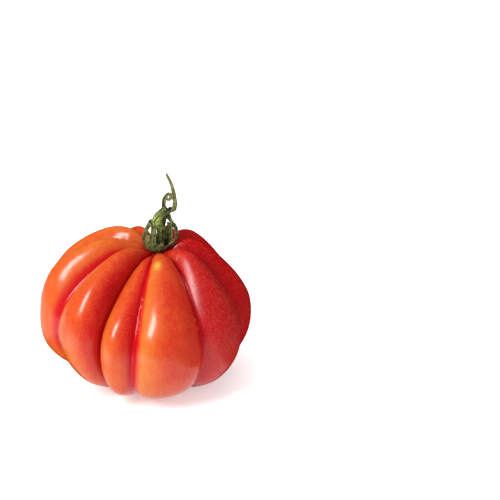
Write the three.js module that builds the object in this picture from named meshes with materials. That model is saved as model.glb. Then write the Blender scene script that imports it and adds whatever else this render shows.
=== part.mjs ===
// A ripe, deeply ribbed tomato as picked, standing on its blossom end, with the snapped flower stalk
// and the withered calyx still on it. Millimetres, +Z up. The side that faces -Y is the front.
// The origin is on the surface it rests on, under the middle of the whole piece.
import * as THREE from "three";

const DEGREE = Math.PI / 180;

// ---------- driving dimensions of the fruit ----------

// Outline of the lobe crests, from the stalk scar on top, over the shoulder and belly, to the blossom
// scar underneath: distance from the axis, height.
const OUTLINE = [
  [0, 62.5],
  [5, 63.3],
  [10, 65.8],
  [15.5, 67],
  [23, 65.2],
  [32, 59],
  [41, 50],
  [47.5, 40],
  [49.3, 29.5],
  [46.2, 18.3],
  [38.5, 8.6],
  [27, 2.4],
  [17, 0],
  [10, 0.8],
  [5, 2],
  [0, 2.4],
];
// The lobes, anticlockwise as seen from above. Start is the bearing of the crease where the lobe begins,
// and skew turns its crest away from the middle of its two creases, both in degrees. Reach scales the
// lobe's distance from the axis. The lists run in even steps from the shoulder down to the foot: depth is
// how far the crease lies in, swell is how far the crest stands off the outline, and bend turns the
// crease in degrees.
const LOBES = [
  {
    start: -12,
    skew: 0,
    reach: 0.99,
    depth: [6, 7, 6, 3, 0.5],
    swell: [-2, -3, 0, 1, 0],
    bend: [0, 0, 0, 0, 0],
  },
  {
    start: 33,
    skew: 0,
    reach: 0.98,
    depth: [8, 9, 9, 5, 1],
    swell: [-1, -2, -1, 1, 0],
    bend: [0, -1, 0, 10, 20],
  },
  {
    start: 75,
    skew: 0,
    reach: 0.98,
    depth: [9, 10, 10, 7, 2.5],
    swell: [1, -1, -1.5, 0, 0],
    bend: [0, 0, 0, 0, 0],
  },
  {
    start: 112,
    skew: 0,
    reach: 0.97,
    depth: [8, 9, 9, 8, 3],
    swell: [2.5, 1, 0, 0, 0],
    bend: [0, 2, 0, -2, 0],
  },
  {
    start: 148,
    skew: 0,
    reach: 0.98,
    depth: [8, 9, 9, 8, 3],
    swell: [2, 1, 0, 0, 0],
    bend: [0, -2, 0, 3, 0],
  },
  {
    start: 186,
    skew: 0,
    reach: 0.99,
    depth: [7, 8, 9, 8, 3],
    swell: [1, 2, 1, 0, 0],
    bend: [0, 0, 0, 0, 0],
  },
  {
    start: 222,
    skew: 0,
    reach: 1,
    depth: [5, 7, 9, 8, 3],
    swell: [1, 3, 5, 7, 7, 3, 0, 0, 0],
    bend: [0, 0, 0, 0, 0],
  },
  {
    start: 257,
    skew: -2,
    reach: 1,
    depth: [8, 8, 9, 8, 3],
    swell: [0, 0.5, 4.5, 7.5, 3, 1.5, -2, -1, 0],
    bend: [0, 4, 2, 0, 0],
  },
  {
    start: 292,
    skew: 5,
    reach: 1,
    depth: [5, 4, 4, 7, 4],
    swell: [-1, -1, 0.5, 2.5, 1, -1, -2, -1, 0],
    bend: [0, 0, -2, -5, -5],
  },
  {
    start: 325,
    skew: -2,
    reach: 0.97,
    depth: [9, 10, 10, 8, 3],
    swell: [-5, -6, -1, -0.5, -1.5],
    bend: [0, 0, 0, 0, 0],
  },
];
const LOBE_ARC = 75; // half the arc, in degrees, that a lobe's cross-section bulges through
const LOBE_COLUMNS = 8;
const FRUIT_ROWS = 32;
// The fruit grew lopsided: its top leans to the right and back, and its shoulders are higher at the
// front left than at the back right.
const LEAN = new THREE.Vector2(0.1, 0.087);
const SHOULDER_FALL = new THREE.Vector2(0.0008, 0.0013);
const FOOT_FLAT = 1.2; // how far the feet of the lobes are pressed flat

// ---------- driving dimensions of the stalk and calyx, measured from the stalk scar ----------

const DISC_HEIGHT = 1.8; // middle of the roots of the sepals
const ROOT_RADIUS = 3.8;
const HEEL_RADIUS = 5.2;
const HEEL_HEIGHT = 3.2;
const SEPAL_THICKNESS = 0.7;
const STALK_ROUTE = [
  [0.2, 0, 1.3],
  [0.4, 0, 2.1],
  [1.3, 0, 3.9],
  [1.9, 0, 7.4],
  [1.4, 0, 11.4],
  [0.1, 0, 14.4],
  [1.4, 0, 16.8],
  [3.3, 0, 18.6],
  [5.1, 0, 20],
];
const STALK_DIAMETERS = [5, 5.4, 3.9, 3.4, 3.6, 4.8, 4.4, 4.2, 3.6];
// Each sepal: the bearing of its root, the bearing its back faces where that differs, the rest of its
// way from the heel to the tip, and its widths from root to tip.
const SEPALS = {
  sepal_front_strip: {
    bearing: -24,
    way: [[-1.6, -4.6, 4.6], [-1.8, -4.2, 7.4], [-1.4, -3.7, 10.8], [-0.9, -3.4, 13.4]],
    widths: [1.5, 2.6, 2.4, 2, 1.8, 0.9],
  },
  sepal_front_short: {
    bearing: -60,
    way: [[-4.6, -3.4, 4.6], [-4, -3.1, 7.4], [-3.2, -2.9, 8.6]],
    widths: [1.5, 2.6, 2.2, 1.4, 0.7],
  },
  sepal_left_arch: {
    bearing: -95,
    faces: -55,
    way: [[-6.4, -0.4, 4.8], [-5.9, -0.4, 7.8], [-4.8, -0.4, 10.8], [-3.3, -0.6, 12.7], [-2.4, -1.7, 12]],
    widths: [1.5, 2.6, 2.4, 2, 1.8, 1.5, 0.8],
  },
  sepal_back_left: {
    bearing: -130,
    way: [[-4.4, 3.8, 5.4], [-4, 3.6, 7.2]],
    widths: [1.5, 2.8, 2.4, 0.8],
  },
  sepal_back: {
    bearing: -166,
    way: [[-1.6, 5.4, 6], [-1.4, 4.8, 9.6], [-2.3, 3.3, 13.6]],
    widths: [1.5, 2.8, 2.6, 1.8, 0.8],
  },
  sepal_curl: {
    bearing: 161,
    way: [
      [2.6, 4.8, 8.5],
      [3.9, 4.2, 13.7],
      [4, 3.4, 18],
      [3.8, 2.8, 22.1],
      [4.5, 2.5, 25],
      [5.9, 2.3, 26.5],
      [7.1, 2.2, 25.8],
      [6.7, 2.1, 24.4],
      [5.6, 2, 24],
    ],
    widths: [1.5, 2.6, 2.2, 1.8, 1.7, 1.4, 1.3, 1.2, 1, 0.9, 0.7],
  },
  sepal_back_right: {
    bearing: 128,
    way: [[5.6, 4.4, 6.2], [5.8, 4.2, 9.6], [5.4, 3.4, 12.4]],
    widths: [1.5, 2.8, 2.4, 1.8, 0.8],
  },
  sepal_boat: {
    bearing: 95,
    faces: 150,
    way: [[5.8, 1.5, 5.1], [6, 1.6, 8], [6.5, 1.4, 11], [6.8, 1.2, 13.4]],
    widths: [1.5, 3, 4, 3.8, 2.4, 0.8],
  },
  sepal_long_tip: {
    bearing: 60,
    way: [
      [8.3, -1.2, 4.2],
      [9.6, -0.8, 7.4],
      [9.4, -0.5, 10],
      [8, -0.4, 13.2],
      [6.5, 1.4, 15.2],
      [5.6, 3.2, 16.6],
      [7.2, 3.4, 17.6],
      [9.1, 3, 18.8],
      [9.5, 2.8, 22.4],
      [8.8, 2.6, 27],
      [7.8, 2.4, 30.7],
      [6.6, 2.2, 33.9],
      [5, 2, 36.9],
    ],
    widths: [1.5, 1.8, 1.6, 1.6, 1.6, 1.5, 1.4, 1.4, 1.6, 1.8, 1.7, 1.4, 1.1, 0.9, 0.6],
  },
  sepal_front_stub: {
    bearing: 20,
    way: [[3.4, -4.7, 3.4], [4.1, -4.6, 4.4]],
    widths: [1.5, 3.4, 3.6, 2.4],
  },
};

// ---------- finishes ----------

const skin = new THREE.MeshStandardMaterial({ color: 0xc8301c, roughness: 0.28, metalness: 0 });
const greenStalk = new THREE.MeshStandardMaterial({ color: 0x6f7a2c, roughness: 0.7, metalness: 0 });
const witheredLeaf = new THREE.MeshStandardMaterial({ color: 0x6c6a3a, roughness: 0.85, metalness: 0 });

// ---------- the fruit ----------

const outline = new THREE.SplineCurve(OUTLINE.map(([radius, height]) => new THREE.Vector2(radius, height)));

// A value that changes smoothly down the fruit, v from 0 to 1, through evenly spaced knots.
function along(knots, v) {
  return new THREE.SplineCurve(knots.map((value, step) => new THREE.Vector2(step, value))).getPoint(v).y;
}

// A point on the fruit at a bearing, held off the outline by a distance, positive outwards.
function offOutline(bearing, v, reach, distance) {
  const point = outline.getPoint(v);
  const tangent = outline.getTangent(v);
  const radius = Math.max(point.x * reach - tangent.y * distance, 0);
  const height = point.y + tangent.x * distance;
  return new THREE.Vector3(radius * Math.sin(bearing * DEGREE), -radius * Math.cos(bearing * DEGREE), height);
}

function creaseBearing(lobe, v) {
  return lobe.start + along(lobe.bend, v);
}

// The crease where a lobe begins: it lies as far out as its two lobes do on average.
function crease(index, v) {
  const lobe = LOBES[index % LOBES.length];
  const before = LOBES[(index + LOBES.length - 1) % LOBES.length];
  const reach = (lobe.reach + before.reach) / 2;
  return offOutline(creaseBearing(lobe, v), v, reach, -along([0, ...lobe.depth, 0], v));
}

// The crest of a lobe, halfway between its two creases but for its skew.
function crest(index, v) {
  const lobe = LOBES[index];
  const next = LOBES[(index + 1) % LOBES.length];
  const turn = index + 1 === LOBES.length ? 360 : 0;
  const bearing = (creaseBearing(lobe, v) + creaseBearing(next, v) + turn) / 2 + lobe.skew;
  return offOutline(bearing, v, lobe.reach, along([0, ...lobe.swell, 0], v));
}

// A lobe bulges from crease to crease as a circular arc does; across runs from -1 to 1.
function lobePoint(index, across, v) {
  const half = LOBE_ARC * DEGREE;
  const share = (1 + Math.sin(half * across) / Math.sin(half)) / 2;
  const bulge = (Math.cos(half * across) - Math.cos(half)) / (1 - Math.cos(half));
  const left = crease(index, v);
  const right = crease(index + 1, v);
  const middle = left.clone().lerp(right, 0.5);
  const toCrest = crest(index, v).sub(middle);
  return left.lerp(right, share).addScaledVector(toCrest, bulge);
}

// The lopsided growth: the foot stays level, and the top leans and tips.
function lopside(point) {
  const fall = 1 - point.x * SHOULDER_FALL.x - point.y * SHOULDER_FALL.y;
  return point.set(point.x + point.z * LEAN.x, point.y + point.z * LEAN.y, point.z * fall);
}

// The surface is wound on a sphere's own grid, column by column round the lobes and row by row down.
function fruitGeometry() {
  const columns = LOBES.length * LOBE_COLUMNS;
  const geometry = new THREE.SphereGeometry(1, columns, FRUIT_ROWS);
  const position = geometry.attributes.position;
  for (let row = 0; row <= FRUIT_ROWS; row += 1) {
    for (let column = 0; column <= columns; column += 1) {
      const index = Math.floor(column / LOBE_COLUMNS) % LOBES.length;
      const across = (2 * (column % LOBE_COLUMNS)) / LOBE_COLUMNS - 1;
      const point = lopside(lobePoint(index, across, row / FRUIT_ROWS));
      position.setXYZ(row * (columns + 1) + column, point.x, point.y, point.z);
    }
  }
  geometry.computeBoundingBox();
  const floor = geometry.boundingBox.min.z + FOOT_FLAT;
  for (let i = 0; i < position.count; i += 1) {
    position.setZ(i, Math.max(position.getZ(i) - floor, 0));
  }
  geometry.computeVertexNormals();
  geometry.userData.floor = floor;
  return geometry;
}

// ---------- the stalk and the sepals ----------

// A closed bar of oval section along a smooth route. Its flat side faces the given way, and its width
// and thickness change smoothly from end to end.
function barGeometry(route, widths, thicknesses, facing, sides, stations) {
  const curve = new THREE.CatmullRomCurve3(route.map((point) => new THREE.Vector3(...point)));
  const geometry = new THREE.CylinderGeometry(0.5, 0.5, 1, sides, stations);
  const position = geometry.attributes.position;
  for (let i = 0; i < position.count; i += 1) {
    const t = THREE.MathUtils.clamp(position.getY(i) + 0.5, 0, 1);
    const tangent = curve.getTangent(t);
    const side = tangent.clone().cross(facing).normalize();
    const outward = side.clone().cross(tangent);
    const point = curve.getPoint(t);
    point.addScaledVector(side, position.getX(i) * along(widths, t));
    point.addScaledVector(outward, position.getZ(i) * along(thicknesses, t));
    position.setXYZ(i, point.x, point.y, point.z);
  }
  geometry.computeVertexNormals();
  return geometry;
}

function sepalGeometry({ bearing, faces = bearing, way, widths }) {
  const sin = Math.sin(bearing * DEGREE);
  const cos = Math.cos(bearing * DEGREE);
  const root = [ROOT_RADIUS * sin, -ROOT_RADIUS * cos, DISC_HEIGHT];
  const heel = [HEEL_RADIUS * sin, -HEEL_RADIUS * cos, HEEL_HEIGHT];
  const facing = new THREE.Vector3(Math.sin(faces * DEGREE), -Math.cos(faces * DEGREE), -0.6);
  const thicknesses = [SEPAL_THICKNESS, SEPAL_THICKNESS, SEPAL_THICKNESS * 0.8];
  return barGeometry([root, heel, ...way], widths, thicknesses, facing, 8, 3 * (way.length + 1));
}

// ---------- the tomato ----------

function named(name, geometry, material) {
  const mesh = new THREE.Mesh(geometry, material);
  mesh.name = name;
  return mesh;
}

const group = new THREE.Group();
const fruit = named("fruit", fruitGeometry(), skin);
group.add(fruit);

const calyx = new THREE.Group();
const scar = lopside(new THREE.Vector3(0, 0, OUTLINE[0][1]));
calyx.position.set(scar.x, scar.y, scar.z - fruit.geometry.userData.floor);
const stalkFacing = new THREE.Vector3(0, -1, 0);
const stalk = barGeometry(STALK_ROUTE, STALK_DIAMETERS, STALK_DIAMETERS, stalkFacing, 12, 20);
calyx.add(named("stalk", stalk, greenStalk));
for (const [name, sepal] of Object.entries(SEPALS)) {
  calyx.add(named(name, sepalGeometry(sepal), witheredLeaf));
}
group.add(calyx);

// The whole piece is moved so that the origin is under the middle of its box.
group.updateMatrixWorld(true);
const box = new THREE.Box3().setFromObject(group, true);
const middle = box.getCenter(new THREE.Vector3());
group.position.set(-middle.x, -middle.y, 0);

export default group;
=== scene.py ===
from math import acos, atan2, cos, exp, pi, radians, sin

import bmesh
import bpy
from mathutils import Matrix, Vector, noise


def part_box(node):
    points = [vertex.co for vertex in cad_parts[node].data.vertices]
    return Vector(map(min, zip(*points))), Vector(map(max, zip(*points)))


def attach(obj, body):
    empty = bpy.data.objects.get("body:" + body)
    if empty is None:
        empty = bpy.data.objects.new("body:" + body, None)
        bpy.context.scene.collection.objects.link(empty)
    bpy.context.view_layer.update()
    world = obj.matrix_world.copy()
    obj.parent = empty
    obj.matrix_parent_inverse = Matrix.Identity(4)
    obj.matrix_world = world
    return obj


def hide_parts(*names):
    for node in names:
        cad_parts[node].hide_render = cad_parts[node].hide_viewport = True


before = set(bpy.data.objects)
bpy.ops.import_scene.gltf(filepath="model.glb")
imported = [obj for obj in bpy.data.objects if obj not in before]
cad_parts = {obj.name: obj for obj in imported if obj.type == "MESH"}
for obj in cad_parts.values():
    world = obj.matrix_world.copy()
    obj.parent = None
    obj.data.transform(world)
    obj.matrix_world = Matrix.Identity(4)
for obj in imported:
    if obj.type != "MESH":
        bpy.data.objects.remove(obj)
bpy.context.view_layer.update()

# ---------------------------------------------------------------- camera
# The tomato is seen from the front and a little above, from nine tenths of a metre away. It stands at
# the lower left of the view. BELLY is the middle of the fruit, which the camera and the key light face.
CAMERA_HEIGHT_ANGLE = radians(26)
CAMERA_DISTANCE = 0.9
CAMERA_LENS = 138.7
CAMERA_SENSOR = 36
BELLY = Vector((-0.0006, -0.0019, 0.029))
VIEW_MIDDLE = Vector((0.0492, 0.0117, 0.0567))

camera = bpy.data.objects.new("camera", bpy.data.cameras.new("camera"))
bpy.context.scene.collection.objects.link(camera)
camera.data.lens = CAMERA_LENS
camera.data.sensor_width = CAMERA_SENSOR
camera_way = Vector((0, -cos(CAMERA_HEIGHT_ANGLE), sin(CAMERA_HEIGHT_ANGLE)))
camera.location = BELLY + CAMERA_DISTANCE * camera_way
camera.rotation_euler = (VIEW_MIDDLE - camera.location).to_track_quat("-Z", "Y").to_euler()
bpy.context.scene.camera = camera

# ---------------------------------------------------------------- fruit
# The berry: ten fleshy lobes grown as one piece round a core, under one thin, waxy, shining skin.
# It is orange on the crests and deep red in the creases and where it ripened first, with fine pale flecks.
# The orange on the left sides and on the lobes that face the key light, and the deep red in the creases
# and on the flanks and lobes turned away from it, are partly uneven ripening and partly painted light and
# shade.
# A corky blossom scar closes it underneath, and its lobes stand on small pressed flats.
MM = 0.001
# Outline of the lobe crests from the stalk scar to the blossom scar: distance from the axis, height.
OUTLINE = [
    (0, 62.5), (5, 63.3), (10, 65.8), (15.5, 67), (23, 65.2), (32, 59), (41, 50), (47.5, 40),
    (49.3, 29.5), (46.2, 18.3), (38.5, 8.6), (27, 2.4), (17, 0), (10, 0.8), (5, 2), (0, 2.4),
]
# Each lobe, anticlockwise from the front one. start: the bearing of the crease where it begins; skew: how
# far its crest is turned from the middle. The lists run from the shoulder to the foot. depth, swell and
# bend: the crease's depth, how far the crest stands off the outline and the crease's turn. gold: how
# orange the lobe is on its left, along its crest and on its right.
# gold is partly uneven ripening and partly painted light and shade: high where the lobes face the key
# light.
LOBES = [
    dict(start=-12, skew=0, reach=0.99,
         depth=[6, 7, 6, 3, 0.5], swell=[-2, -3, 0, 1, 0], bend=[0, 0, 0, 0, 0],
         gold=([0.7, 0.75, 0.95, 1.0, 0.75, 0.5],
               [0.6, 0.6, 0.5, 0.5, 0.65, 0.5],
               [0.4, 0.4, 0.35, 0.5, 0.65, 0.5])),
    dict(start=33, skew=0, reach=0.98,
         depth=[8, 9, 9, 5, 1], swell=[-1, -2, -1, 1, 0], bend=[0, -1, 0, 10, 20],
         gold=([0.6, 0.45, 0.0, 0.15, 0.35, 0.5],
               [0.5, 0.2, 0.0, 0.2, 0.45, 0.5],
               [0.3, 0.1, 0.05, 0.2, 0.4, 0.5])),
    dict(start=75, skew=0, reach=0.98,
         depth=[9, 10, 10, 7, 2.5], swell=[1, -1, -1.5, 0, 0], bend=[0, 0, 0, 0, 0],
         gold=([0.25, 0.05, 0, 0.1, 0.3, 0.4],
               [0.2, 0.05, 0, 0.1, 0.3, 0.4],
               [0.2, 0.1, 0.1, 0.1, 0.3, 0.4])),
    dict(start=112, skew=0, reach=0.97,
         depth=[8, 9, 9, 8, 3], swell=[2.5, 1, 0, 0, 0], bend=[0, 2, 0, -2, 0],
         gold=([0.4, 0.2, 0.1, 0.2, 0.3, 0.4],
               [0.35, 0.2, 0.2, 0.3, 0.4, 0.4],
               [0.4, 0.3, 0.3, 0.3, 0.4, 0.4])),
    dict(start=148, skew=0, reach=0.98,
         depth=[8, 9, 9, 8, 3], swell=[2, 1, 0, 0, 0], bend=[0, -2, 0, 3, 0],
         gold=([0.4, 0.4, 0.4, 0.4, 0.4, 0.4],
               [0.5, 0.5, 0.5, 0.5, 0.5, 0.5],
               [0.5, 0.5, 0.6, 0.6, 0.5, 0.5])),
    dict(start=186, skew=0, reach=0.99,
         depth=[7, 8, 9, 8, 3], swell=[1, 2, 1, 0, 0], bend=[0, 0, 0, 0, 0],
         gold=([0.5, 0.5, 0.6, 0.6, 0.5, 0.5],
               [0.6, 0.6, 0.6, 0.6, 0.6, 0.5],
               [0.6, 0.6, 0.7, 0.6, 0.6, 0.5])),
    dict(start=222, skew=0, reach=1,
         depth=[5, 7, 9, 8, 3], swell=[1, 3, 5, 7, 7, 3, 0, 0, 0], bend=[0, 0, 0, 0, 0],
         gold=([0.7, 0.75, 0.7, 0.6, 0.6, 0.5],
               [0.75, 0.8, 0.8, 0.7, 0.6, 0.5],
               [0.7, 0.75, 0.8, 0.7, 0.6, 0.5])),
    dict(start=257, skew=-2, reach=1,
         depth=[8, 8, 9, 8, 3], swell=[0, 0.5, 4.5, 7.5, 3, 1.5, -2, -1, 0], bend=[0, 4, 2, 0, 0],
         gold=([0.8, 0.85, 0.8, 0.7, 0.6, 0.5],
               [0.85, 0.85, 0.8, 0.8, 0.7, 0.5],
               [0.7, 0.7, 0.75, 0.75, 0.6, 0.5])),
    dict(start=292, skew=5, reach=1,
         depth=[5, 4, 4, 7, 4], swell=[-1, -1, 0.5, 2.5, 1, -1, -2, -1, 0], bend=[0, 0, -2, -5, -5],
         gold=([0.5, 0.7, 0.75, 0.8, 0.75, 0.5],
               [0.5, 0.6, 0.65, 0.8, 0.75, 0.5],
               [0.2, 0.2, 0.1, 0.3, 0.6, 0.5])),
    dict(start=325, skew=-2, reach=0.97,
         depth=[9, 10, 10, 8, 3], swell=[-5, -6, -1, -0.5, -1.5], bend=[0, 0, 0, 0, 0],
         gold=([0.4, 0.6, 0.75, 0.8, 0.75, 0.5],
               [0.3, 0.6, 0.7, 0.8, 0.75, 0.5],
               [0.15, 0.3, 0.3, 0.6, 0.7, 0.5])),
]
# Half the arc that each lobe's section makes.
LOBE_ARC = radians(75)
# How far the top leans to the right and to the back, and how far the height falls off each way.
LEAN = (0.1, 0.087)
SHOULDER_FALL = (0.0008, 0.0013)
# How much of the lowest lobes is pressed flat, in millimetres.
FOOT_FLAT = 1.2
LOBE_COLUMNS = 30
FRUIT_ROWS = 150
# Slow swells of the skin: how high they stand and how long they are, in millimetres.
UNDULATION = 0.35
UNDULATION_LENGTH = 21.0
BELLY_HEIGHT = 30
# The yellow-green spot on the front lobe's shoulder: its place across and down the lobe, and its size.
SPOT_PLACE = (-0.42, 0.262)
SPOT_SIZE = (0.17, 0.022)
# Dotted corky marks along the creases: lobe, where across it, and from where to where down it.
CORKY_LINES = [(0, -0.95, 0.35, 0.46), (9, -0.93, 0.54, 0.63), (0, 0.86, 0.40, 0.47)]
CORKY_WIDTH = 0.06
DOT_LENGTH = 1.1
# The lobe that ripened first, which is less shining than the others.
DULL_LOBE = 1
# A deeper red for the creases: partly the skin's own colour, partly painted shade.
CREASE_RED_AND_SHADE = (0.50, 0.001, 0.008, 1)
DEEP_RED = (0.37, 0.0005, 0.002, 1)
RIPENESS_AND_LIGHT_STEPS = [
    (0.25, (0.45, 0.004, 0.004, 1)), (0.5, (0.50, 0.030, 0.008, 1)), (0.75, (0.54, 0.080, 0.012, 1)),
]
GOLDEN_ORANGE = (0.57, 0.15, 0.020, 1)
YELLOW_GREEN = (0.56, 0.40, 0.06, 1)
PALE_FLECK = (0.70, 0.30, 0.12, 1)
DARK_CORK = (0.16, 0.055, 0.02, 1)
PALE_CORK = (0.60, 0.30, 0.14, 1)
# How fine each pattern of the skin is: a larger scale is finer.
MOTTLE_SCALE = 60
STREAK_SCALE = 420
GRAIN_SCALE = 1600
FLECK_SCALE = 1500
FLECK_STRENGTH = 0.26
WAX_ROUGHNESS = (0.17, 0.27)
DULL_ROUGHNESS = 0.10
CORK_ROUGHNESS = 0.4
SKIN_IOR = 1.5
# The flesh glows a little through the skin: how much, how deep in metres, and each colour's share of it.
FLESH_SHARE = 0.15
FLESH_DEPTH = 0.004
FLESH_COLOUR_DEPTHS = (1.0, 0.12, 0.05)


def through(knots, v):
    """A value or point that runs smoothly through evenly spaced knots, for v from 0 to 1."""
    place = min(max(v, 0), 1) * (len(knots) - 1)
    i = min(int(place), len(knots) - 2)
    w = place - i
    a, b, c, d = (knots[min(max(i + k, 0), len(knots) - 1)] for k in (-1, 0, 1, 2))
    square = 2 * a - 5 * b + 4 * c - d
    cube = 3 * b - a - 3 * c + d
    return 0.5 * (2 * b + (c - a) * w + square * w ** 2 + cube * w ** 3)


def rise(value, low, high):
    """A smooth step from 0 at low to 1 at high; low may be the larger."""
    t = min(max((value - low) / (high - low), 0), 1)
    return t * t * (3 - 2 * t)


OUTLINE_POINTS = [Vector(point) for point in OUTLINE]


def off_outline(bearing, v, reach, distance):
    """The point at a bearing, held off the outline by a distance in millimetres, positive outwards."""
    point = through(OUTLINE_POINTS, v)
    tangent = (through(OUTLINE_POINTS, v + 0.001) - through(OUTLINE_POINTS, v - 0.001)).normalized()
    radius = max(point.x * reach - tangent.y * distance, 0)
    return Vector((radius * sin(bearing), -radius * cos(bearing), point.y + tangent.x * distance))


def fruit_row(v):
    """The creases and the crests of one row, in millimetres."""
    creases, crests = [], []
    bearings = [radians(lobe["start"] + through(lobe["bend"], v)) for lobe in LOBES]
    for i, lobe in enumerate(LOBES):
        reach = (lobe["reach"] + LOBES[i - 1]["reach"]) / 2
        creases.append(off_outline(bearings[i], v, reach, -through([0, *lobe["depth"], 0], v)))
        after = bearings[(i + 1) % len(LOBES)] + (2 * pi if i + 1 == len(LOBES) else 0)
        swell = through([0, *lobe["swell"], 0], v)
        crest_bearing = (bearings[i] + after) / 2 + radians(lobe["skew"])
        crests.append(off_outline(crest_bearing, v, lobe["reach"], swell))
    return creases, crests


def on_lobe(row, i, across):
    """The point on lobe i of a row: a circular arc from crease to crease, across from -1 to 1."""
    creases, crests = row
    share = (1 + sin(LOBE_ARC * across) / sin(LOBE_ARC)) / 2
    bulge = (cos(LOBE_ARC * across) - cos(LOBE_ARC)) / (1 - cos(LOBE_ARC))
    left, right = creases[i], creases[(i + 1) % len(LOBES)]
    return left.lerp(right, share) + (crests[i] - (left + right) / 2) * bulge, bulge


def lopside(point):
    """The fruit's lopsided growth: its foot stays level, and its top leans and tips."""
    fall = 1 - point.x * SHOULDER_FALL[0] - point.y * SHOULDER_FALL[1]
    return Vector((point.x + point.z * LEAN[0], point.y + point.z * LEAN[1], point.z * fall))


def orange_share(lobe, across, v):
    """How orange the skin is: each lobe's own pattern, partly ripeness and partly painted light and shade,
    fading to red in its creases, partly as painted shade, and at the scars.
    """
    left, crest, right = (through(gold, v) for gold in lobe["gold"])
    side = rise(-across, 0, 0.75) * (left - crest) + rise(across, 0, 0.75) * (right - crest)
    return (crest + side) * rise(1 - abs(across), 0.0, 0.3) * rise(v, 0.02, 0.14)


def finished(name, mesh_builder, material):
    """A bmesh made an object that stands at the origin, shaded smooth."""
    mesh = bpy.data.meshes.new(name)
    mesh_builder.to_mesh(mesh)
    mesh_builder.free()
    mesh.polygons.foreach_set("use_smooth", [True] * len(mesh.polygons))
    piece = bpy.data.objects.new(name, mesh)
    bpy.context.scene.collection.objects.link(piece)
    piece.data.materials.append(material)
    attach(piece, "root")
    return piece


def node(tree, kind, inputs=None, **settings):
    """A shader node with its settings, its values and its links given in one line."""
    made = tree.nodes.new(kind)
    for key, value in settings.items():
        setattr(made, key, value)
    for key, value in (inputs or {}).items():
        if isinstance(value, bpy.types.NodeSocket):
            tree.links.new(value, made.inputs[key])
        else:
            made.inputs[key].default_value = value
    return made


def maths(tree, operation, first, second=0.0):
    return node(tree, "ShaderNodeMath", {0: first, 1: second}, operation=operation).outputs[0]


def attribute(tree, name):
    return node(tree, "ShaderNodeAttribute", attribute_name=name).outputs["Fac"]


def cloudy(tree, where, scale, detail, roughness=0.5):
    """A soft cloudy pattern of values from 0 to 1."""
    settings = {"Vector": where, "Scale": scale, "Detail": detail, "Roughness": roughness}
    return node(tree, "ShaderNodeTexNoise", settings).outputs[0]


def blended(tree, factor, first, second):
    """One colour laid over another by a mask."""
    made = node(tree, "ShaderNodeMix", {0: factor, 6: first, 7: second}, data_type="RGBA")
    return made.outputs[2]


def scaled(tree, value, low, high, new_low=0.0, new_high=1.0):
    """A value mapped smoothly from one range to another."""
    made = node(tree, "ShaderNodeMapRange", {0: value, 1: low, 2: high, 3: new_low, 4: new_high})
    made.interpolation_type = "SMOOTHSTEP"
    return made.outputs[0]


def new_material(name):
    material = bpy.data.materials.new(name)
    material.use_nodes = True
    return material, material.node_tree, material.node_tree.nodes["Principled BSDF"]


skin, tree, shader = new_material("waxy_tomato_skin")
place = node(tree, "ShaderNodeTexCoord").outputs["Object"]
gold = attribute(tree, "gold")
crest = attribute(tree, "crest")
green = attribute(tree, "green")
cork = attribute(tree, "cork")
dull = attribute(tree, "dull")
mottle = cloudy(tree, place, MOTTLE_SCALE, 4, 0.55)
stretch = node(tree, "ShaderNodeMapping", {"Vector": place, "Scale": (1, 1, 0.25)})
streak = cloudy(tree, stretch.outputs[0], STREAK_SCALE, 3)
grain = cloudy(tree, place, GRAIN_SCALE, 2)
fleck = node(tree, "ShaderNodeTexVoronoi", {"Vector": place, "Scale": FLECK_SCALE, "Randomness": 1})
wander = maths(tree, "MULTIPLY", maths(tree, "SUBTRACT", mottle, 0.5), 0.5)
fine = maths(tree, "MULTIPLY", maths(tree, "SUBTRACT", streak, 0.5), 0.3)
# How ripe the skin looks: partly real ripening, partly painted light and shade.
ripe_and_lit = maths(tree, "ADD", maths(tree, "ADD", gold, wander), fine)
ramp = node(tree, "ShaderNodeValToRGB", {0: ripe_and_lit})
ramp.color_ramp.elements[0].color = DEEP_RED
ramp.color_ramp.elements[1].color = GOLDEN_ORANGE
for stop, shade in RIPENESS_AND_LIGHT_STEPS:
    ramp.color_ramp.elements.new(stop).color = shade
# The creases are blended towards a deeper red: partly the skin's own colour, partly painted shade.
colour = blended(tree, scaled(tree, crest, 0.5, 0.0, 0.0, 0.8), ramp.outputs[0], CREASE_RED_AND_SHADE)
colour = blended(tree, maths(tree, "MULTIPLY", green, 0.8), colour, YELLOW_GREEN)
speck = scaled(tree, fleck.outputs["Distance"], 0.34, 0.12, 0.0, FLECK_STRENGTH)
# The pale flecks are real speckles, painted stronger on the crests and on the dull lobe as a painted
# grainy sheen.
fleck_and_sheen_share = maths(tree, "ADD", crest, maths(tree, "MULTIPLY", dull, 0.8))
colour = blended(tree, maths(tree, "MULTIPLY", speck, fleck_and_sheen_share), colour, PALE_FLECK)
cork_colour = blended(tree, mottle, DARK_CORK, PALE_CORK)
colour = blended(tree, cork, colour, cork_colour)
waxy = scaled(tree, grain, 0.3, 0.7, *WAX_ROUGHNESS)
waxy = maths(tree, "ADD", waxy, maths(tree, "MULTIPLY", cork, CORK_ROUGHNESS))
waxy = maths(tree, "ADD", waxy, maths(tree, "MULTIPLY", dull, DULL_ROUGHNESS))
dimple = maths(tree, "ADD", maths(tree, "MULTIPLY", grain, 0.35), streak)
bump = node(tree, "ShaderNodeBump", {"Height": dimple, "Strength": 0.1, "Distance": 0.0004})
tree.links.new(colour, shader.inputs["Base Color"])
tree.links.new(waxy, shader.inputs["Roughness"])
tree.links.new(bump.outputs[0], shader.inputs["Normal"])
shader.inputs["IOR"].default_value = SKIN_IOR
shader.inputs["Subsurface Weight"].default_value = FLESH_SHARE
shader.inputs["Subsurface Radius"].default_value = FLESH_COLOUR_DEPTHS
shader.inputs["Subsurface Scale"].default_value = FLESH_DEPTH

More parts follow.
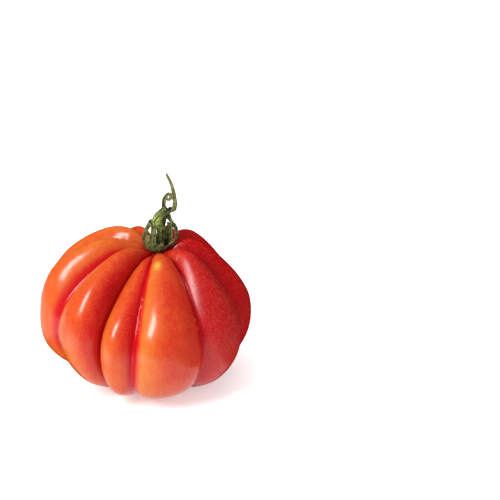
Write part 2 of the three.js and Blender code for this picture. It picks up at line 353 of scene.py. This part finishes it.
builder = bmesh.new()
columns = len(LOBES) * LOBE_COLUMNS
bmesh.ops.create_uvsphere(builder, u_segments=columns, v_segments=FRUIT_ROWS, radius=1)
layers = {key: builder.verts.layers.float.new(key) for key in ("gold", "crest", "green", "cork", "dull")}
rows = {}
for vertex in builder.verts:
    row = round(acos(max(-1, min(1, vertex.co.z))) / pi * FRUIT_ROWS)
    v = row / FRUIT_ROWS
    if row not in rows:
        rows[row] = fruit_row(v)
    column = 0
    if 0 < row < FRUIT_ROWS:
        column = round(atan2(vertex.co.x, -vertex.co.y) / (2 * pi) * columns) % columns
    i, step = divmod(column, LOBE_COLUMNS)
    across = 2 * step / LOBE_COLUMNS - 1
    point, bulge = on_lobe(rows[row], i, across)
    vertex[layers["crest"]] = bulge
    vertex[layers["gold"]] = orange_share(LOBES[i], across, v)
    vertex[layers["dull"]] = rise(1 - abs(across), 0, 0.2) if i == DULL_LOBE else 0
    if i == 0:
        sideways = (across - SPOT_PLACE[0]) / SPOT_SIZE[0]
        downwards = (v - SPOT_PLACE[1]) / SPOT_SIZE[1]
        vertex[layers["green"]] = exp(-(sideways ** 2 + downwards ** 2))
    marks = 0
    for lobe_number, at, top, bottom in CORKY_LINES:
        if lobe_number == i:
            dotted = rise(noise.noise(point / DOT_LENGTH), 0.0, 0.3)
            line = exp(-((across - at) / CORKY_WIDTH) ** 2) * dotted
            marks = max(marks, 0.6 * line * rise(v, top, top + 0.02) * rise(v, bottom, bottom - 0.02))
    vertex[layers["cork"]] = max(marks, rise(v, 0.955, 0.975), rise(v, 0.03, 0.015))
    soft = noise.noise(point / UNDULATION_LENGTH) + 0.4 * noise.noise(point / UNDULATION_LENGTH * 2.3)
    outward = Vector((point.x, point.y, point.z - BELLY_HEIGHT)).normalized()
    point = point + outward * soft * UNDULATION * bulge * rise(v, 0.02, 0.12)
    vertex.co = lopside(point)
floor_height = min(vertex.co.z for vertex in builder.verts) + FOOT_FLAT
for vertex in builder.verts:
    vertex.co.z = max(vertex.co.z - floor_height, 0)
stem_scar = lopside(Vector((0, 0, OUTLINE[0][1]))) - Vector((0, 0, floor_height))
bmesh.ops.scale(builder, vec=(MM, MM, MM), verts=builder.verts)
low = Vector([min(vertex.co[k] for vertex in builder.verts) for k in range(3)])
high = Vector([max(vertex.co[k] for vertex in builder.verts) for k in range(3)])
cad_low, cad_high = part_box("fruit")
shift = (cad_low + cad_high - low - high) / 2
shift.z = 0
bmesh.ops.translate(builder, vec=shift, verts=builder.verts)
fruit = finished("tomato_fruit", builder, skin)
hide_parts("fruit")
scar_place = stem_scar * MM + shift

# ---------------------------------------------------------------- stalk
# The last two centimetres of the flower stalk, snapped off above its knuckle. It is fleshy, green and
# furrowed where it has begun to dry, with a small dead spur at the knuckle. Its foot spreads into the
# disc that the sepals grow from, painted near-black brown as the shade inside the cup.

# Points up the stalk's middle from the scar, in millimetres, and its radii at even steps along it.
STALK_ROUTE = [
    (0.1, 0, -0.2), (0.2, 0, 1.0), (0.4, 0, 2.1), (1.3, 0, 3.9), (1.9, 0, 7.4), (1.4, 0, 11.4),
    (0.1, 0, 14.4), (1.4, 0, 16.8), (3.3, 0, 18.6), (5.1, 0, 20),
]
STALK_RADII = [3.6, 4.0, 3.0, 2.1, 1.8, 1.9, 2.4, 2.25, 2.15, 1.95]
STALK_SIDES = 48
STALK_STEPS = 110
# The broken spur: how far it stands out, how far up the stalk it is, its height and its half width.
SPUR_REACH = 1.9
SPUR_PLACE = 0.665
SPUR_HEIGHT = 0.016
SPUR_WIDTH = 0.26
# How deep its furrows and how high its knobs are, as shares of its radius.
FURROW_DEPTH = 0.17
KNOB_HEIGHT = 0.16
# The torn end's steps, from its rim inwards: how much narrower and how much lower each is.
TORN_END = [(0.12, -0.006), (0.12, 0.006), (0.16, 0.05), (0.2, 0.03), (0.2, 0.0)]
DRIED_GREEN = (0.026, 0.036, 0.004, 1)
FLESHY_GREEN = (0.17, 0.21, 0.030, 1)
# The colour of the painted highlight on the knuckle.
KNUCKLE_HIGHLIGHT_GREEN = (0.34, 0.43, 0.08, 1)
FURROW_GREEN = (0.018, 0.022, 0.004, 1)
# The painted shade on the stalk's foot and disc inside the cup.
DISC_SHADE_BROWN = (0.022, 0.014, 0.004, 1)
DEAD_BLACK = (0.014, 0.011, 0.006, 1)
BLOTCH_SCALE = 520
FIBRE_SCALE = 2600
STALK_ROUGHNESS = (0.5, 0.75)
# How much its fine hairs shine.
STALK_DOWN = 0.06


def along_route(route, t):
    """The point and the direction at t on a smooth route through points."""
    ahead = through(route, t + 0.01) - through(route, t - 0.01)
    return through(route, t), ahead.normalized()


green_stalk, tree, shader = new_material("drying_green_stalk")
place = node(tree, "ShaderNodeTexCoord").outputs["Object"]
along = attribute(tree, "along")
furrow = attribute(tree, "furrow")
dead = attribute(tree, "dead")
blotch = cloudy(tree, place, BLOTCH_SCALE, 5, 0.65)
thread = node(tree, "ShaderNodeMapping", {"Vector": place, "Scale": (1, 1, 0.2)})
fibre = cloudy(tree, thread.outputs[0], FIBRE_SCALE, 3)
fresh = scaled(tree, blotch, 0.38, 0.62)
colour = blended(tree, fresh, DRIED_GREEN, FLESHY_GREEN)
# Painted highlight: a pale yellow-green patch on the knuckle, broken up by the blotches.
knuckle = maths(tree, "MULTIPLY", scaled(tree, along, 0.52, 0.64), scaled(tree, along, 0.86, 0.74))
knuckle_highlight = maths(tree, "MULTIPLY", knuckle, scaled(tree, blotch, 0.4, 0.6, 0.25, 0.7))
colour = blended(tree, knuckle_highlight, colour, KNUCKLE_HIGHLIGHT_GREEN)
colour = blended(tree, scaled(tree, furrow, 0.25, 0.75), colour, FURROW_GREEN)
# Painted shade: the foot and the disc are darkened to near-black brown inside the cup.
colour = blended(tree, scaled(tree, along, 0.24, 0.12), colour, DISC_SHADE_BROWN)
colour = blended(tree, dead, colour, DEAD_BLACK)
dry = scaled(tree, fibre, 0.3, 0.7, *STALK_ROUGHNESS)
bump = node(tree, "ShaderNodeBump", {"Height": fibre, "Strength": 0.6, "Distance": 0.0002})
tree.links.new(colour, shader.inputs["Base Color"])
tree.links.new(dry, shader.inputs["Roughness"])
tree.links.new(bump.outputs[0], shader.inputs["Normal"])
shader.inputs["Sheen Weight"].default_value = STALK_DOWN
shader.inputs["Sheen Roughness"].default_value = 0.5

builder = bmesh.new()
bmesh.ops.create_cone(builder, cap_ends=True, segments=STALK_SIDES, radius1=1, radius2=1, depth=1)
uprights = [edge for edge in builder.edges if abs(edge.verts[0].co.z - edge.verts[1].co.z) > 0.5]
bmesh.ops.subdivide_edges(builder, edges=uprights, cuts=STALK_STEPS - 1, use_grid_fill=True)
cut_end = [face for face in builder.faces if face.normal.z > 0.9]
for narrowing, sinking in TORN_END:
    bmesh.ops.inset_region(builder, faces=cut_end, thickness=narrowing)
    inner_corners = list({corner for face in cut_end for corner in face.verts})
    bmesh.ops.translate(builder, vec=(0, 0, -sinking), verts=inner_corners)
layers = {key: builder.verts.layers.float.new(key) for key in ("along", "furrow", "dead")}
route = [Vector(point) for point in STALK_ROUTE]
for vertex in builder.verts:
    t = vertex.co.z + 0.5
    radius = Vector(vertex.co.xy).length
    turn = atan2(vertex.co.y, vertex.co.x)
    point, ahead = along_route(route, t)
    side = ahead.cross(Vector((0, -1, 0))).normalized()
    back = side.cross(ahead)
    wander = 0.8 * noise.noise(Vector((1.3 * cos(turn), 1.3 * sin(turn), 6 * t)))
    groove = max(0, cos(5 * turn + 4 * t + 3 * wander) + 0.5 * cos(9 * turn - 7 * t)) / 1.5
    lump = noise.noise(Vector((2 * cos(turn), 2 * sin(turn), 16 * t)))
    spur = exp(-((t - SPUR_PLACE) / SPUR_HEIGHT) ** 2 - ((pi - abs(turn)) / SPUR_WIDTH) ** 2)
    uneven = 1 - FURROW_DEPTH * groove + KNOB_HEIGHT * lump
    size = through(STALK_RADII, t) * uneven * radius + SPUR_REACH * spur * radius
    spot = point + side * (size * cos(turn)) + back * (size * sin(turn))
    ragged = 0.5 * noise.noise(Vector((3 * cos(turn), 3 * sin(turn), 0))) * rise(t, 0.93, 1)
    vertex[layers["along"]] = t
    vertex[layers["furrow"]] = groove
    vertex[layers["dead"]] = max(rise(spur, 0.05, 0.35), rise(1 - radius, 0.15, 0.4) * rise(t, 0.9, 0.95))
    vertex.co = scar_place + (spot + ahead * ragged) * MM
bmesh.ops.recalc_face_normals(builder, faces=builder.faces)
stalk = finished("flower_stalk", builder, green_stalk)
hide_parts("stalk")

# ---------------------------------------------------------------- sepals
# Ten withered leaves of the calyx. Each grows from the disc under the stalk's foot, dips outwards over
# the fruit where it has grown together with its neighbours into a cup, and rises round the stalk.
# They have dried grey-green with tan edges, crumpled along their veins and rolled at their tips.

# The first points of every sepal: distance from the middle of the disc and height, in millimetres.
ROOTS = [(2.2, 0.3), (4.2, 0.7), (5.5, 2.4)]
# bearing: where the sepal grows; faces: the way its middle faces, where it twists; tan: how brown it is.
# The other lists run from root to tip: the twist and the curl in degrees, the points after the root and
# the widths in millimetres.
SEPALS = {
    "sepal_front_strip": dict(
        bearing=-20, tan=0.15, turns=[0, 0, -15, -30], curls=[20, 40, 55, 70],
        way=[(-1.6, -4.6, 4.6), (-1.8, -4.2, 7.4), (-1.4, -3.7, 10.8), (-0.9, -3.4, 13.4)],
        widths=[2.6, 3.8, 3.6, 2.8, 2.5, 2.2, 0.9]),
    "sepal_front_short": dict(
        bearing=-58, tan=0.4, turns=[0, 10, 30], curls=[20, 50, 75],
        way=[(-4.6, -3.4, 4.6), (-4, -3.1, 7.4), (-3.2, -2.9, 8.6)],
        widths=[2.6, 3.8, 3.8, 3.2, 2.2, 0.8]),
    "sepal_left_arch": dict(
        bearing=-95, faces=-60, tan=0.15, turns=[0, 0, 10, 20], curls=[20, 45, 80, 110],
        way=[(-6.4, -0.4, 4.8), (-5.9, -0.4, 7.8), (-4.8, -0.4, 10.8), (-3.3, -0.6, 12.7),
             (-2.4, -1.7, 12)],
        widths=[2.6, 3.6, 3.2, 2.3, 2.0, 2.0, 1.8, 0.9]),
    "sepal_back_left": dict(
        bearing=-130, tan=0.3, turns=[0, 0, 20], curls=[20, 50, 60],
        way=[(-4.4, 3.8, 5.4), (-4.0, 3.6, 7.2)],
        widths=[2.6, 3.6, 3.6, 2.6, 0.8]),
    "sepal_back": dict(
        bearing=-166, tan=0.3, turns=[0, 0, -20], curls=[20, 50, 60],
        way=[(-1.6, 5.4, 6), (-1.4, 4.8, 9.6), (-2.3, 3.3, 13.6)],
        widths=[2.6, 3.6, 3.6, 2.8, 2.0, 0.8]),
    "sepal_curl": dict(
        bearing=161, tan=0.45, turns=[0, 0, 0], curls=[20, 60, 120, 150, 150],
        way=[(2.6, 4.8, 8.5), (3.9, 4.2, 13.7), (4, 3.4, 18), (3.8, 2.8, 22.1), (4.5, 2.5, 25),
             (5.9, 2.3, 26.5), (7.1, 2.2, 25.8), (6.7, 2.1, 24.4), (5.6, 2, 24), (4.9, 1.8, 24.9)],
        widths=[2.6, 3.8, 4.0, 3.0, 2.4, 2.1, 1.8, 1.6, 1.5, 1.4, 1.3, 1.1, 0.6]),
    "sepal_back_right": dict(
        bearing=128, tan=0.3, turns=[0, 0, 30], curls=[20, 50, 70],
        way=[(5.6, 4.4, 6.2), (5.8, 4.2, 9.6), (5.4, 3.4, 12.4)],
        widths=[2.6, 3.6, 3.4, 2.8, 2.0, 0.8]),
    "sepal_boat": dict(
        bearing=95, faces=150, tan=0.2, turns=[0, 0, 0], curls=[20, 50, 70, 80],
        way=[(5.8, 1.5, 5.1), (6, 1.6, 8), (6.5, 1.4, 11), (6.8, 1.2, 13.4)],
        widths=[2.6, 3.6, 4.2, 5.0, 5.0, 3.4, 0.7]),
    "sepal_long_tip": dict(
        bearing=62, tan=0.5, turns=[0, 0, 0, 30, 0, 0], curls=[20, 60, 80, 80, 90, 140, 150, 150],
        way=[(8.3, -1.2, 4.2), (9.6, -0.8, 7.4), (9.4, -0.5, 10), (8, -0.4, 13.2), (6.5, 1.4, 15.2),
             (5.6, 3.2, 16.6), (7.2, 3.4, 17.6), (9.1, 3, 18.8), (9.5, 2.8, 22.4), (8.8, 2.6, 27),
             (7.8, 2.4, 30.7), (6.6, 2.2, 33.9), (5, 2, 36.9)],
        widths=[2.6, 3.6, 3.0, 2.2, 1.9, 2.0, 2.4, 2.8, 3.0, 3.2, 3.0, 2.3, 2.0, 1.7, 1.4, 1.1, 0.6]),
    "sepal_front_stub": dict(
        bearing=28, tan=0.35, turns=[0, 0, 0], curls=[20, 40, 45],
        way=[(3.1, -4.7, 2.7), (3.7, -4.6, 3.3)],
        widths=[2.6, 4.4, 6.0, 6.0, 4.6]),
}
# How far up the sepals form a shaded cup; then the thickness of a sepal and the heights of its veins,
# its ruffles and its puckers, all in millimetres.
CUP_HEIGHT = 8.0
SEPAL_LEAF = 0.32
VEIN_HEIGHT = 0.09
RUFFLE_HEIGHT = 0.42
PUCKER_HEIGHT = 0.16
SEPAL_SIDES = 40
SEPAL_STEP = 0.2
SHADED_GREEN = (0.011, 0.016, 0.003, 1)
WITHERED_GREEN = (0.11, 0.15, 0.022, 1)
VEIN_GREEN = (0.25, 0.30, 0.07, 1)
CUP_BROWN = (0.13, 0.055, 0.010, 1)
DRIED_TAN = (0.33, 0.27, 0.09, 1)
EDGE_TAN = (0.46, 0.42, 0.19, 1)
CUP_SHADE = (0.010, 0.010, 0.003, 1)
PATCH_SCALE = 620
CRUMPLE_SCALE = 2400
SEPAL_ROUGHNESS = (0.55, 0.8)
SEPAL_DOWN = 0.04

withered, tree, shader = new_material("withered_sepal")
place = node(tree, "ShaderNodeTexCoord").outputs["Object"]
along = attribute(tree, "along")
edge = attribute(tree, "edge")
vein = attribute(tree, "vein")
tan_share = attribute(tree, "tan")
hollow = attribute(tree, "hollow")
blotch = cloudy(tree, place, PATCH_SCALE, 5, 0.65)
crumple = cloudy(tree, place, CRUMPLE_SCALE, 3)
veined = maths(tree, "MULTIPLY", maths(tree, "SUBTRACT", vein, 0.5), 0.22)
patchy = maths(tree, "ADD", blotch, veined)
colour = blended(tree, scaled(tree, patchy, 0.38, 0.62), SHADED_GREEN, WITHERED_GREEN)
colour = blended(tree, scaled(tree, vein, 0.8, 1.0, 0.0, 0.5), colour, VEIN_GREEN)
brown = maths(tree, "MULTIPLY", scaled(tree, along, 0.4, 0.0), scaled(tree, blotch, 0.62, 0.38))
colour = blended(tree, brown, colour, CUP_BROWN)
tan_patch = maths(tree, "MULTIPLY", tan_share, scaled(tree, blotch, 0.3, 0.6, 0.5, 1.0))
colour = blended(tree, tan_patch, colour, DRIED_TAN)
colour = blended(tree, scaled(tree, edge, 0.82, 1.0, 0.0, 0.85), colour, EDGE_TAN)
colour = blended(tree, maths(tree, "MULTIPLY", hollow, 0.9), colour, CUP_SHADE)
dry = scaled(tree, crumple, 0.3, 0.7, *SEPAL_ROUGHNESS)
bump = node(tree, "ShaderNodeBump", {"Height": crumple, "Strength": 0.6, "Distance": 0.0002})
tree.links.new(colour, shader.inputs["Base Color"])
tree.links.new(dry, shader.inputs["Roughness"])
tree.links.new(bump.outputs[0], shader.inputs["Normal"])
shader.inputs["Sheen Weight"].default_value = SEPAL_DOWN
shader.inputs["Sheen Roughness"].default_value = 0.5

for number, (name, sepal) in enumerate(SEPALS.items()):
    bearing, faces = radians(sepal["bearing"]), radians(sepal.get("faces", sepal["bearing"]))
    spokes = [Vector((r * sin(bearing), -r * cos(bearing), z)) for r, z in ROOTS]
    route = spokes + [Vector(point) for point in sepal["way"]]
    length = sum((b - a).length for a, b in zip(route, route[1:]))
    builder = bmesh.new()
    bmesh.ops.create_cone(builder, cap_ends=True, segments=SEPAL_SIDES, radius1=1, radius2=1, depth=1)
    uprights = [side for side in builder.edges if abs(side.verts[0].co.z - side.verts[1].co.z) > 0.5]
    bmesh.ops.subdivide_edges(builder, edges=uprights, cuts=round(length / SEPAL_STEP), use_grid_fill=True)
    shades = ("along", "edge", "vein", "tan", "hollow")
    layers = {key: builder.verts.layers.float.new(key) for key in shades}
    rooted = Vector((sin(bearing), -cos(bearing), -0.6))
    turned = Vector((sin(faces), -cos(faces), -0.6))
    for vertex in builder.verts:
        across, layer, t = vertex.co.x, vertex.co.y, vertex.co.z + 0.5
        point, ahead = along_route(route, t)
        away = rooted.lerp(turned, rise(t * length, 4, 9))
        side = ahead.cross(away).normalized()
        back = side.cross(ahead)
        uneven = 14 * noise.noise(Vector((number * 11, 0, 0.35 * t * length)))
        twist = Matrix.Rotation(radians(through(sepal["turns"], t) + uneven * rise(t, 0.2, 0.6)), 3, ahead)
        side, back = twist @ side, twist @ back
        curl = radians(through(sepal["curls"], t))
        half = through(sepal["widths"], t) / 2
        bow = half / sin(min(curl, pi / 2))
        ridge = 0.5 + 0.5 * cos(across * 4 * pi)
        stray = 2 * noise.noise(Vector((number, across, 0.5 * t * length)))
        stripe = 0.5 + 0.5 * cos(across * 8 * pi + stray)
        ruffle = noise.noise(Vector((number * 7 + 1.5 * across, 2, 0.8 * t * length)))
        pucker = noise.noise(Vector((number * 5 + 3 * across, 9, 2.4 * t * length)))
        loose = min(half, 1.3) * rise(t * length, 3, 7)
        off_sheet = SEPAL_LEAF / 2 * (1 + 0.5 * ridge) * layer
        lift = (bow + off_sheet) * cos(curl * across) - bow + VEIN_HEIGHT * ridge * min(half, 1.2)
        lift += loose * (RUFFLE_HEIGHT * ruffle * (0.25 + abs(across)) + PUCKER_HEIGHT * pucker)
        reach = (bow + off_sheet) * sin(curl * across) + 0.14 * loose * pucker
        vertex.co = scar_place + (point + side * reach + back * lift) * MM
        vertex[layers["along"]] = t
        vertex[layers["edge"]] = abs(across) * rise(t * length, 2, 6)
        vertex[layers["vein"]] = 0.5 * ridge + 0.5 * stripe
        vertex[layers["tan"]] = sepal["tan"] * rise(t, 0.3, 0.85)
        vertex[layers["hollow"]] = rise(-layer, -0.2, 0.2) * rise(t * length, CUP_HEIGHT, CUP_HEIGHT / 2)
    bmesh.ops.recalc_face_normals(builder, faces=builder.faces)
    piece = finished("withered_" + name, builder, withered)
    rounding = piece.modifiers.new("rounding", "SUBSURF")
    rounding.levels = rounding.render_levels = 1
    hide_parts(name)

# ---------------------------------------------------------------- studio
# A plain white light table that glows a little from below, one tall soft light high on the left, and an
# even white fill from all round. The skin mirrors the soft light, and faintly the table in front and on
# the left. The fill lights the tomato without showing in it.
FLOOR_SIZE = 4.0
FLOOR_GLOW = 0.40
PAPER_WHITE = (0.93, 0.93, 0.93, 1)
PURE_WHITE = (1, 1, 1, 1)
KEY_SIZE = (0.21, 0.42)
KEY_WATTS = 5.0
KEY_DISTANCE = 0.8
KEY_BEARING = radians(-50)
KEY_HEIGHT_ANGLE = radians(42)
CEILING_STRENGTH = 1.1
CEILING_SPREAD = radians(80)
CEILING_TILT = (radians(-12), radians(-18), 0)
FILL_STRENGTH = 0.72
# Each patch of the table that shows in the skin: its middle, its size and its power.
SHEEN_PATCHES = [
    ("front_sheen", (-0.08, -0.085, 0.0005), (0.26, 0.13), 0.09),
    ("left_sheen", (-0.30, 0.10, 0.0005), (0.46, 0.50), 0.55),
]

floor_builder = bmesh.new()
bmesh.ops.create_grid(floor_builder, x_segments=1, y_segments=1, size=FLOOR_SIZE)
floor_mesh = bpy.data.meshes.new("studio_floor")
floor_builder.to_mesh(floor_mesh)
floor_builder.free()
studio_floor = bpy.data.objects.new("studio_floor", floor_mesh)
bpy.context.scene.collection.objects.link(studio_floor)
paper, tree, shader = new_material("white_paper")
shader.inputs["Base Color"].default_value = PAPER_WHITE
shader.inputs["Roughness"].default_value = 0.9
shader.inputs["Specular IOR Level"].default_value = 0.1
shader.inputs["Emission Color"].default_value = PURE_WHITE
shader.inputs["Emission Strength"].default_value = FLOOR_GLOW
studio_floor.data.materials.append(paper)
studio_floor.visible_glossy = False

key = bpy.data.lights.new("key_softbox", "AREA")
key.shape = "RECTANGLE"
key.size, key.size_y = KEY_SIZE
key.energy = KEY_WATTS
key_lamp = bpy.data.objects.new("key_softbox", key)
bpy.context.scene.collection.objects.link(key_lamp)
key_level = cos(KEY_HEIGHT_ANGLE)
key_way = Vector((sin(KEY_BEARING) * key_level, -cos(KEY_BEARING) * key_level, sin(KEY_HEIGHT_ANGLE)))
key_lamp.location = BELLY + KEY_DISTANCE * key_way
key_lamp.rotation_euler = (-key_way).to_track_quat("-Z", "Y").to_euler()

for name, middle, size, watts in SHEEN_PATCHES:
    sheen = bpy.data.lights.new(name, "AREA")
    sheen.shape = "RECTANGLE"
    sheen.size, sheen.size_y = size
    sheen.energy = watts
    sheen_lamp = bpy.data.objects.new(name, sheen)
    bpy.context.scene.collection.objects.link(sheen_lamp)
    sheen_lamp.location = middle
    sheen_lamp.rotation_euler = (pi, 0, 0)
    sheen_lamp.visible_camera = False
    sheen_lamp.visible_diffuse = False

ceiling = bpy.data.lights.new("ceiling_light", "SUN")
ceiling.energy = CEILING_STRENGTH
ceiling.angle = CEILING_SPREAD
ceiling_lamp = bpy.data.objects.new("ceiling_light", ceiling)
bpy.context.scene.collection.objects.link(ceiling_lamp)
ceiling_lamp.rotation_euler = CEILING_TILT
ceiling_lamp.visible_glossy = False

world = bpy.data.worlds.new("pale_surround")
bpy.context.scene.world = world
world.use_nodes = True
surround = world.node_tree.nodes["Background"]
surround.inputs["Color"].default_value = PURE_WHITE
surround.inputs["Strength"].default_value = FILL_STRENGTH
world.cycles_visibility.glossy = False
bpy.context.scene.view_settings.view_transform = "Standard"
